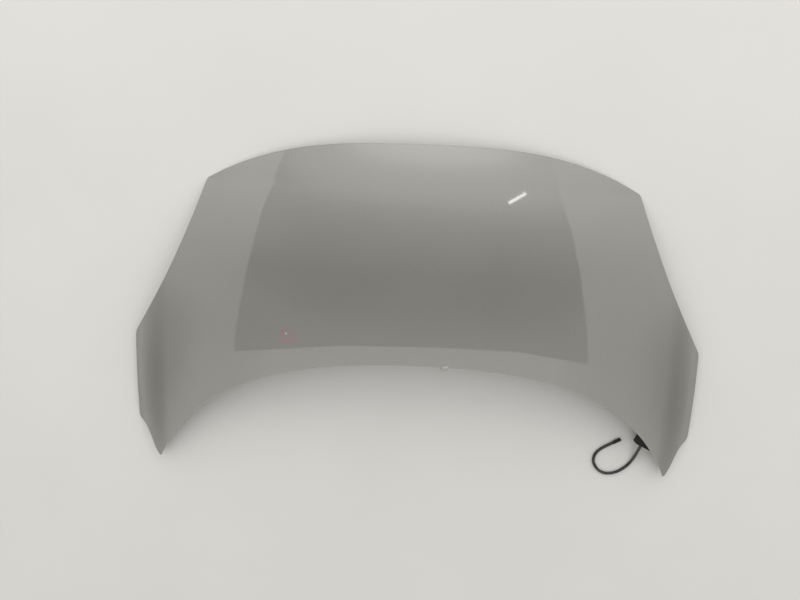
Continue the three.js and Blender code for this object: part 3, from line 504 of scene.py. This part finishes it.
def outer_skin():
    across, along = pattern(SKIN_STEP)
    rows, columns = across.shape
    x, y = plan(across, along)
    face = np.stack([x, y, crown(x, y)], -1).reshape(-1, 3)
    ring = perimeter(rows, columns)
    edge = face[ring]
    tangent = np.roll(edge, -1, 0) - np.roll(edge, 1, 0)
    out = np.stack([tangent[:, 1], -tangent[:, 0]], -1)
    out /= np.linalg.norm(out, axis=1)[:, None]
    step = np.linalg.norm(np.roll(edge, -1, 0) - edge, axis=1)
    run = np.concatenate([[0], np.cumsum(step)[:-1]])
    corners = run[[0, columns - 1, columns + rows - 2, 2 * columns + rows - 3]]
    apart = np.abs(run[:, None] - corners)
    apart = np.minimum(apart, step.sum() - apart).min(1)
    width = np.minimum(HEM_WIDTH, 2 + 0.5 * np.maximum(0, apart - CORNER_ROUND))
    outer, inner = [face], [face - [0, 0, SKIN_T]]
    for degrees in HEM_TURNS:
        reach, rise = math.cos(math.radians(degrees)), math.sin(math.radians(degrees))
        for rings, radius in ((outer, HEM_DEPTH / 2), (inner, HEM_GAP / 2)):
            fold = np.column_stack([out * reach * radius * HEM_BULGE, np.full(len(edge), rise * radius)])
            rings.append(edge + fold - [0, 0, HEM_DEPTH / 2])
    for share in (0.3, 0.65, 1):
        back = edge[:, :2] - out * (width * share)[:, None]
        level = crown(back[:, 0], back[:, 1]) - HEM_DEPTH
        outer.append(np.column_stack([back, level]))
        inner.append(np.column_stack([back, level + SKIN_T]))
    quads = [grid_quads(rows, columns)]
    previous = ring
    for k in range(len(outer) - 1):
        current = len(face) + k * len(ring) + np.arange(len(ring))
        quads.append(np.stack([np.roll(previous, -1), previous, current, np.roll(current, -1)], -1))
        previous = current
    outer, inner = np.concatenate(outer), np.concatenate(inner)
    outer[:, 2] = np.maximum(outer[:, 2], FLOOR_Z)
    inner[:, 2] = np.maximum(inner[:, 2], FLOOR_Z + SKIN_T / 2)
    faces = sheet_faces(np.concatenate(quads), [previous], len(outer))
    return add_mesh("outer_skin_and_hem", mm(np.concatenate([outer, inner])), faces, PAINT, 60)


own(outer_skin(), "paint", "outer_skin")

# Inner frame: one stamped sheet under the skin

FLANGE, WALL, CHANNEL, CHANNEL_DEPTH = 24, 16, 44, 18
DECK_GAP, RAIL_DEPTH, RAIL_HALF = 2.6, 14, 17
RAILS, CROSS_RAIL = (165, 440), 262
DECK_START = FLANGE + WALL + CHANNEL
WALL_STOPS = [FLANGE + WALL / 2, FLANGE + WALL, DECK_START, DECK_START + WALL / 2, DECK_START + WALL]
RAIL_STOPS = [side * (RAIL_HALF + wall) for side in (-1, 1) for wall in (0, WALL / 2, WALL)]
WINDOWS = [(a, b, c, d) for a, b in ((-625, -473), (-407, -198), (-132, 132), (198, 407), (473, 625))
           for c, d in ((100, 229), (295, 427))]
WINDOW_LIP, WINDOW_SQUARENESS = 20, 5
LIP_SHARES = (0.3, 0.6, 0.85, 1)
# Flat seats: middle and half sizes on the pattern, a point of the plane and its normal
HINGE_SEAT = (663, 148, 22, 48, (678.83, 251.35, 20.27), (0.4480, -0.0238, 0.8937))
LATCH_SEAT = (0, 465, 72, 22, (0, 759.97, 57.10), (0, 0.4152, 0.9098))
SEAT_EASE = 14
HINGE_HOLE_R, HINGE_PITCH, HINGE_BOX = 4.3, 56, (10, 9)


def ease(t):
    t = np.clip(t, 0, 1)
    return t * t * (3 - 2 * t)


def press_depth(across, along):
    """How deep the frame is pressed away from the inside of the skin."""
    x = np.abs(across)
    edge = np.minimum(np.minimum(HALF_WIDTH - x, along), CENTRE_LENGTH - along)
    inner = edge - DECK_START
    channel = np.where(inner < 0, CHANNEL_DEPTH * ease((edge - FLANGE) / WALL),
                       CHANNEL_DEPTH + (DECK_GAP - CHANNEL_DEPTH) * ease(inner / WALL))
    away = np.minimum(np.abs(along - CROSS_RAIL), np.abs(x[..., None] - RAILS).min(-1))
    rail = RAIL_DEPTH + (DECK_GAP - RAIL_DEPTH) * ease((away - RAIL_HALF) / WALL)
    return np.where(inner < 0, channel, np.maximum(channel, rail))


def frame_top(across, along):
    """Upper face of the frame, its channel flat where the hinge and the striker sit."""
    x, y = plan(across, along)
    under = crown(x, y) - SKIN_T - SLIP
    z = under - press_depth(across, along)
    for a, b, half_a, half_b, point, normal in (HINGE_SEAT, LATCH_SEAT):
        apart = np.maximum(np.abs(np.abs(across) - a) - half_a, np.abs(along - b) - half_b)
        flat = point[2] - (normal[0] * (np.abs(x) - point[0]) + normal[1] * (y - point[1])) / normal[2]
        z = z + (flat - under + CHANNEL_DEPTH) * (1 - ease(apart / SEAT_EASE))
    return np.stack([x, y, z], -1)


def hinge_holes():
    """Pattern places of the right seat's two bolt holes, with their pattern radii."""
    along = np.linspace(90, 210, 481)  # every quarter millimetre along the seat
    x, y = plan(np.full(len(along), float(HINGE_SEAT[0])), along)
    middle, slope = HINGE_SEAT[4], np.gradient(y, along)
    for side in (-1, 1):
        at = np.interp(middle[1] + side * HINGE_PITCH / 2, y, along)
        shift = middle[0] - np.interp(at, along, x)
        yield HINGE_SEAT[0] + shift, at, HINGE_HOLE_R, HINGE_HOLE_R / np.interp(at, along, slope)


def frame_holes():
    """Each hole's box on the pattern, its middle, its half sizes and how square it is."""
    holes = []
    for a, b, c, d in WINDOWS:
        half = [(b - a) / 2 - WINDOW_LIP, (d - c) / 2 - WINDOW_LIP]
        holes.append(((a, b, c, d), ((a + b) / 2, (c + d) / 2), half, WINDOW_SQUARENESS))
    for a, b, radius_a, radius_b in hinge_holes():
        for side in (-1, 1):
            ends = sorted(side * (HINGE_SEAT[0] + reach) for reach in (-HINGE_BOX[0], HINGE_BOX[0]))
            box = [*ends, b - HINGE_BOX[1], b + HINGE_BOX[1]]
            holes.append((box, (side * a, b), (radius_a, radius_b), 2))
    return holes


def inner_frame():
    holes = frame_holes()
    from_edge = EDGE_STOPS + WALL_STOPS
    half = ticks(sorted({0, *(rail + stop for rail in RAILS for stop in RAIL_STOPS),
                         HINGE_SEAT[0] - HINGE_BOX[0], HINGE_SEAT[0] + HINGE_BOX[0],
                         *(HALF_WIDTH - stop for stop in from_edge)}), FRAME_STEP)
    rows_at = ticks(sorted({*from_edge, *(CROSS_RAIL + stop for stop in RAIL_STOPS),
                            *(CENTRE_LENGTH - stop for stop in from_edge),
                            *(stop for hole in holes for stop in hole[0][2:])}), FRAME_STEP)
    columns_at = np.concatenate([-half[:0:-1], half])
    across, along = (m.ravel() for m in np.meshgrid(columns_at, rows_at))
    rows, columns = len(rows_at), len(columns_at)
    kept, quads, rims = np.ones((rows - 1, columns - 1), bool), [], [perimeter(rows, columns)]
    for (a, b, c, d), centre, radii, power in holes:
        i0, i1 = (np.abs(columns_at - v).argmin() for v in (a, b))
        j0, j1 = (np.abs(rows_at - v).argmin() for v in (c, d))
        kept[j0:j1, i0:i1] = False
        previous = np.concatenate([
            j0 * columns + np.arange(i0, i1), np.arange(j0, j1) * columns + i1,
            j1 * columns + np.arange(i1, i0, -1), np.arange(j1, j0, -1) * columns + i0])
        start = np.column_stack([across[previous], along[previous]])
        facing = (start - [(a + b) / 2, (c + d) / 2]) / [(b - a) / 2, (d - c) / 2]
        facing /= (np.abs(facing) ** power).sum(1)[:, None] ** (1 / power)
        rim = np.array(centre) + facing * radii
        for share in LIP_SHARES:
            current = len(across) + np.arange(len(previous))
            ring = start + (rim - start) * share
            across = np.concatenate([across, ring[:, 0]])
            along = np.concatenate([along, ring[:, 1]])
            quads.append(np.stack([previous, np.roll(previous, -1), np.roll(current, -1), current], -1))
            previous = current
        rims.append(previous[::-1])
    top = frame_top(across, along)
    quads.append(grid_quads(rows, columns)[kept.ravel()])
    faces = sheet_faces(np.concatenate(quads), rims, len(top))
    points = mm(np.concatenate([top, top - [0, 0, FRAME_T]]))
    return add_mesh("stamped_inner_frame", points, faces, UNDERCOAT, 50)


own(inner_frame(), "undercoat", "inner_frame")

# Rubber buffers and the prop rod's socket, pushed into the front channel

BUFFER_SIDE = [(0, -8.93), (7.4, -8.93), (8.8, -8.6), (10, -7.7), (10.8, -6.4), (11, -5.4), (11, -1.6),
               (10.6, -1.05), (10, -0.93), (4, -0.93), (4, 0.3), (5.5, 0.3), (6, 0.8), (3.2, 5.7), (2.6, 6),
               (0, 6)]
SOCKET_SIDE = [(4.5, -2.5), (4.9, -2.93), (10.4, -2.93), (11, -2.4), (11, -0.93), (9, -0.93), (9, 0.3),
               (10.8, 0.3), (10.2, 2), (9.8, 2.3), (4.5, 2.3), (4.5, -2.5)]
FRONT_SEATS = {
    "buffer_right": (BUFFER_SIDE, (0.36752, 0.31386, 0.0331), (0.204, 0.387, 0.8992)),
    "buffer_left": (BUFFER_SIDE, (-0.36752, 0.31386, 0.0331), (-0.204, 0.387, 0.8992)),
    "prop_socket": (SOCKET_SIDE, (-0.23827, 0.33664, 0.04719), (-0.1339, 0.4059, 0.9041)),
}
for name, (profile, seat, normal) in FRONT_SEATS.items():
    own(lathe(f"round_{name}", profile, seated(seat, normal), RUBBER), "rubber", name)

# Mastic squeezed between the window lips and the skin

DAB_HALF_WIDTH, DAB_SIDES = 6, 28
# Shares of the outline and of the height
DAB_SIDE = [(0.84, 0), (0.95, 0.12), (1, 0.4), (1, 0.6), (0.95, 0.88), (0.84, 1)]
DABS_ACROSS = (122, 122, 397, 397, 615, 615, -397, -397, -615, -615)


def mastic_dab(name, across, low, high):
    """Oval dab along the lip between two plan positions, a little fuller half way up."""
    path = np.linspace(80, 460, 761)  # every half millimetre along the windows
    _, y = plan(np.full(len(path), float(across)), path)
    ends = np.interp([low, high], y, path)
    angles = np.arange(DAB_SIDES) / DAB_SIDES * 2 * math.pi
    points = []
    for share, rise in DAB_SIDE:
        a = across + DAB_HALF_WIDTH * share * np.cos(angles)
        b = ends.mean() + (ends[1] - ends[0]) / 2 * share * np.sin(angles)
        foot = frame_top(a, b) + [0, 0, SLIP]
        roof = crown(foot[:, 0], foot[:, 1]) - SKIN_T - SLIP
        foot[:, 2] += (roof - foot[:, 2]) * rise
        points.append(foot)
    points = mm(np.concatenate(points))
    faces = [face for low in range(0, len(points) - DAB_SIDES, DAB_SIDES)
             for face in band(low, low + DAB_SIDES, DAB_SIDES)]
    faces += [tuple(range(DAB_SIDES))[::-1], tuple(range(len(points) - DAB_SIDES, len(points)))]
    return add_mesh(name, points, faces, MASTIC, 50)


for number, across in enumerate(DABS_ACROSS, 1):
    node = nodes[f"mastic_dab_{number}"]
    reach = [(node.matrix_world @ Vector(corner)).y * 1000 - SHIFT_Y for corner in node.bound_box]
    dab = mastic_dab(f"squeezed_mastic_{number}", across, min(reach), max(reach))
    own(dab, "mastic", f"mastic_dab_{number}")

# Washer hose under the frame, from the block to the jet

INNER_ROUTE = [
    (604.2, 126.5, 19.8), (598.5, 134.7, 19.8), (624.49, 188.25, 30.53), (569.67, 232.72, 46.41),
    (458.5, 293.83, 71.11), (336.38, 331.54, 91.1), (209.22, 353.18, 106.01), (153.06, 358.37, 110.32),
    (102.04, 319.01, 110.92), (87.04, 307.76, 114.67), (75.79, 307.76, 114.67),
]


def tube(name, centres, radius, material, sides=18):
    """Round hose of a radius in millimetres along centres in metres, cut square at its ends."""
    ahead = np.gradient(centres, axis=0)
    flat = np.cross(ahead, [0, 0, 1])
    flat /= np.linalg.norm(flat, axis=1)[:, None]
    rise = np.cross(flat, ahead)
    rise /= np.linalg.norm(rise, axis=1)[:, None]
    angles = (np.arange(sides) / sides * 2 * math.pi)[None, :, None]
    rings = np.cos(angles) * flat[:, None] + np.sin(angles) * rise[:, None]
    points = (centres[:, None] + rings * radius / 1000).reshape(-1, 3)
    faces = [face[::-1] for low in range(0, len(points) - sides, sides)
             for face in band(low, low + sides, sides)]
    faces += [tuple(range(sides)), tuple(range(len(points) - sides, len(points)))[::-1]]
    return add_mesh(name, points, faces, material, 50)


inner_centres = mm(through(INNER_ROUTE, INNER_POINTS))
own(tube("round_inner_hose", inner_centres, HOSE_R, HOSE_RUBBER), "hose", "washer_hose_inner")

# Rubber hose block under the rear right corner


def soft_prism(outline, low, high, corner, edge, axes=(0, 1, 2)):
    """Points and faces of a prism over an outline, with rounded corners and softened edges. The axes
    say which of outline X, outline Y and height give the points' X, Y and Z."""
    shape = []
    points = [Vector(p) for p in outline]
    for k, here in enumerate(points):
        back, ahead = (points[k - 1] - here), (points[(k + 1) % len(points)] - here)
        pull = min(corner, 0.4 * back.length, 0.4 * ahead.length)
        a, b = here + back.normalized() * pull, here + ahead.normalized() * pull
        shape += [a.lerp(here, t).lerp(here.lerp(b, t), t) for t in (0, 0.25, 0.5, 0.75, 1)]
    body = bmesh.new()
    ends = [[body.verts.new((p.x, p.y, z)) for p in shape] for z in (low, high)]
    body.faces.new(ends[0][::-1])
    body.faces.new(ends[1])
    for k in range(len(shape)):
        n = (k + 1) % len(shape)
        body.faces.new((ends[0][k], ends[0][n], ends[1][n], ends[1][k]))
    rims = [e for e in body.edges if abs(e.verts[0].co.z - e.verts[1].co.z) < 1e-6]
    bmesh.ops.bevel(body, geom=rims, offset=edge, segments=3, profile=0.5, affect="EDGES")
    bmesh.ops.recalc_face_normals(body, faces=body.faces)
    points = [[v.co[k] for k in axes] for v in body.verts]
    faces = [[v.index for v in f.verts] for f in body.faces]
    body.free()
    return np.array(points), faces


BLOCK_OUTLINE = [(587, 114), (578, 96), (581, 90.5), (624, 69.5), (650, 100), (622, 138)]
BLOCK_LOW, BLOCK_TOP = 16, 29
points, faces = soft_prism(BLOCK_OUTLINE, BLOCK_LOW, BLOCK_TOP, 1.0, 0.6)
own(add_mesh("rubber_hose_block", on_floor(points), faces, RUBBER), "rubber", "hose_block")

# Striker bolted under the latch seat: plate and bent wire loop

STRIKER_OUTLINE = [(-48, -9), (-40, -17), (40, -17), (48, -9), (48, 9), (40, 17), (-40, 17), (-48, 9)]
STRIKER_TOP, STRIKER_LOW, LOOP_LOW = -0.94, -3.44, -23.44
LOOP_HALF, LOOP_BEND, WIRE_R, WIRE_SIDES = 13, 8, 4, 20


def striker():
    plate, faces = soft_prism(STRIKER_OUTLINE, STRIKER_LOW, STRIKER_TOP, 3, 0.4)
    turns = np.linspace(0, math.pi / 2, 9)
    bend_x = LOOP_HALF - LOOP_BEND + LOOP_BEND * np.cos(turns)
    bend_z = LOOP_LOW + LOOP_BEND - LOOP_BEND * np.sin(turns)
    half = np.concatenate([[[LOOP_HALF, STRIKER_LOW + 1]], np.stack([bend_x, bend_z], -1), [[0, LOOP_LOW]]])
    line = np.concatenate([half, half[-2::-1] * [-1, 1]])
    ahead = np.gradient(line, axis=0)
    ahead /= np.linalg.norm(ahead, axis=1)[:, None]
    angles = np.arange(WIRE_SIDES) / WIRE_SIDES * 2 * math.pi
    aside, apart = WIRE_R * np.cos(angles), WIRE_R * np.sin(angles)
    rings = [np.column_stack([x + aside * dz, apart, z - aside * dx])
             for (x, z), (dx, dz) in zip(line, ahead)]
    points = np.concatenate([plate, *rings])
    first, last = len(plate), len(points) - WIRE_SIDES
    for low in range(first, last, WIRE_SIDES):
        faces += band(low, low + WIRE_SIDES, WIRE_SIDES)
    faces += [tuple(range(first, first + WIRE_SIDES))[::-1], tuple(range(last, len(points)))]
    seat, normal = LATCH_SEAT[4:]
    up = np.array(normal) / np.linalg.norm(normal)
    axes = np.array([[1, 0, 0], np.cross(up, [1, 0, 0]), up])
    return add_mesh("bolted_striker", mm(np.array(seat) + points @ axes), faces, ZINC)


own(striker(), "zinc", "striker")

# Washer jet hooked over the rear edge

JET_SIDE = [(289.8, 109.9), (315, 109.9), (315, 133.9), (297, 133.9), (297, 138.8), (303.2, 138.8),
            (303.2, 140.3), (297, 141.2), (289.8, 138.8)]
JET_START, JET_END = 60.5, 75.5
points, faces = soft_prism(JET_SIDE, JET_START, JET_END, 0.9, 0.5, (2, 0, 1))
own(add_mesh("moulded_washer_jet", on_floor(points), faces, JET_PLASTIC), "jet_plastic", "washer_jet")

# Plain floor and soft light

FLOOR_HALF = 4
floor_material, tree, shader, place = new_material("plain studio floor")
tone = spread(tree, noise(tree, place, 400, 3), 0, 1)
set_inputs(tree, shader, Base_Color=blend(tree, tone, linear("cfcecc"), linear("d2d1cf")), Roughness=0.6)
corners = [(i * FLOOR_HALF, j * FLOOR_HALF, 0) for i, j in ((-1, -1), (1, -1), (1, 1), (-1, 1))]
floor = add_mesh("floor", corners, [(0, 1, 2, 3)], floor_material)

SKY, WARM, COOL = (1.0, 0.988, 0.962), (1, 0.985, 0.945), (1, 0.995, 0.98)
world = bpy.data.worlds.new("studio")
world.use_nodes = True
sky = world.node_tree.nodes["Background"].inputs
sky["Color"].default_value, sky["Strength"].default_value = (*SKY, 1), 1.06
bpy.context.scene.world = world
bpy.context.scene.view_settings.view_transform = "Standard"


def reflector(name, corners, centre, scale, levels, tint=COOL):
    """Studio card that only glossy surfaces see. Its brightness goes by the scaled distance from a
    centre: levels are pairs of a distance and a brightness."""
    card_material = bpy.data.materials.new(name)
    card_material.use_nodes = True
    tree = card_material.node_tree
    tree.nodes.remove(tree.nodes["Principled BSDF"])
    place = add(tree, "ShaderNodeTexCoord").outputs["Object"]
    offset = add(tree, "ShaderNodeVectorMath", {0: place, 1: centre}, operation="SUBTRACT")
    scaled = add(tree, "ShaderNodeVectorMath", {0: offset.outputs[0], 1: scale}, operation="MULTIPLY")
    away = add(tree, "ShaderNodeVectorMath", {0: scaled.outputs[0]}, operation="LENGTH")
    reach, peak = levels[-1][0], max(level for _, level in levels)
    along = add(tree, "ShaderNodeMapRange", {"Value": away.outputs["Value"], "From Max": reach})
    ramp = add(tree, "ShaderNodeValToRGB", {"Fac": along.outputs["Result"]})
    stops = ramp.color_ramp.elements
    for distance, _ in levels[1:-1]:
        stops.new(distance / reach)
    for stop, (distance, level) in zip(stops, levels):
        stop.color = (*(level / peak * share for share in tint), 1)
    glow = add(tree, "ShaderNodeEmission", {"Color": ramp.outputs["Color"], "Strength": peak})
    tree.links.new(glow.outputs[0], tree.nodes["Material Output"].inputs["Surface"])
    card = add_mesh(name, corners, [tuple(range(len(corners)))], card_material)
    card.visible_camera = card.visible_diffuse = card.visible_shadow = False
    card.visible_transmission = card.visible_volume_scatter = False
    return card


CARD_EDGE = [
    (-4.3, 9), (-3.22, 4.59), (-2.85, 3.04), (-2.46, 1.69), (-2.3, 0.94), (-2.2, -0.07), (-2.18, -0.9),
    (-0.8, -0.76), (0.28, -0.74), (1.23, -0.75), (2.15, -0.88), (2.15, 0.03), (2.23, 1.01), (2.54, 2.51),
    (3.03, 4.28), (4.2, 9),
]
STRIP_EDGE = [
    (1.474, 2.474), (1.461, 2.462), (1.451, 2.46), (1.443, 2.468), (1.44, 2.485), (1.442, 2.508),
    (1.449, 2.535), (1.459, 2.561), (1.472, 2.581), (1.572, 2.71), (1.678, 2.847), (1.792, 2.993),
    (1.878, 3.102), (1.897, 3.12), (1.917, 3.124), (1.931, 3.115), (1.935, 3.1), (1.93, 3.078),
    (1.922, 3.055), (1.905, 3.028), (1.787, 2.871), (1.676, 2.731), (1.572, 2.599),
]
CARD_LEVELS = [(0, 2), (1.35, 1.8), (2.2, 1.6), (2.7, 1.25), (3.2, 1.05), (3.9, 1), (4.3, 0.9), (4.7, 0.65),
               (5.2, 0.5), (5.7, 0.46), (6.2, 0.38), (6.6, 0.28), (6.9, 0.3), (7.2, 0.42), (9, 0.42)]
SIDE_EDGE = [(-8, 0.03), (8, 0.03), (8, 9), (-8, 9)]
SIDE_LEVELS = [(0, 0.15), (0.8, 0.25), (1.6, 0.42), (2, 0.6), (2.4, 0.78), (2.8, 0.86), (3.7, 0.86),
               (5.5, 0.93), (6.6, 1.08), (9, 1.15)]
FILL_EDGE = [(-6, 0.02), (6, 0.02), (6, 5), (-6, 5)]
CARD_Z, STRIP_Z = 2.6, 2.59
card_corners, strip_corners = [(x, y, CARD_Z) for x, y in CARD_EDGE], [(x, y, STRIP_Z) for x, y in STRIP_EDGE]
cards = [
    reflector("overhead_card", card_corners, (0.35, 6.5, CARD_Z), (1.2, 1, 1), CARD_LEVELS),
    reflector("strip_lamp", strip_corners, (1.5, 2.7, STRIP_Z), (1, 1, 1), [(0, 6.3), (9, 6.3)]),
]
for name, x, centre in (("left_flag", -5, (-5, -1.6, 2.6)), ("right_flag", 5, (5, -1.8, 2.2))):
    cards.append(reflector(name, [(x, y, z) for y, z in SIDE_EDGE], centre, (1, 1, 1), SIDE_LEVELS, WARM))

# Ahead of the part and behind it, cards that only light or shade dull surfaces
for name, y, level in (("front_fill", 4, 2.0), ("rear_flag", -4, 0.3)):
    corners = [(x, y, z) for x, z in FILL_EDGE]
    card = reflector(name, corners, (0, y, 0), (1, 1, 1), [(0, level), (9, level)], SKY)
    card.visible_diffuse, card.visible_glossy = True, False
    cards.append(card)
